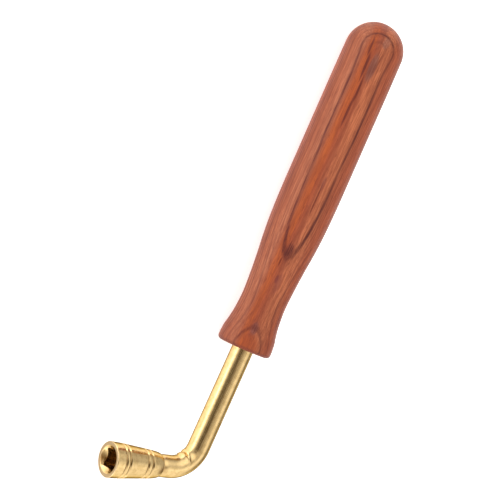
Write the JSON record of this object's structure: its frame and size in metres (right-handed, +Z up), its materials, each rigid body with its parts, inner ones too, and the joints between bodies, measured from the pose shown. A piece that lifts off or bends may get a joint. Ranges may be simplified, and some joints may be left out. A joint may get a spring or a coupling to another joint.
{
  "type": "tuning wrench",
  "caption": "L-shaped string tuning wrench: round wooden handle, bent round shank and a tapered head with a square socket.",
  "frame": {"origin": "on the surface that the wrench lies on, under the middle of its bounding box", "axes": "+Z up; the socket opens towards -X with its mouth dipped about 5 degrees; the handle runs towards +Y, leaning about 12 degrees towards +X"},
  "size_m": [0.0802, 0.178, 0.0221],
  "materials": {
    "rosewood": "satin lacquered rosewood with dark growth lines along the handle",
    "adhesive": "cured clear amber epoxy",
    "plated_shank": "polished gold-coloured plating with fine draw lines",
    "brazing_brass": "plated brazed fillet",
    "plated_socket": "polished gold-coloured plating over turning marks"
  },
  "bodies": {
    "root": {"handle": "rosewood", "tang_adhesive": "adhesive", "shank": "plated_shank", "braze_ring": "brazing_brass", "socket": "plated_socket"}
  },
  "joints": []
}
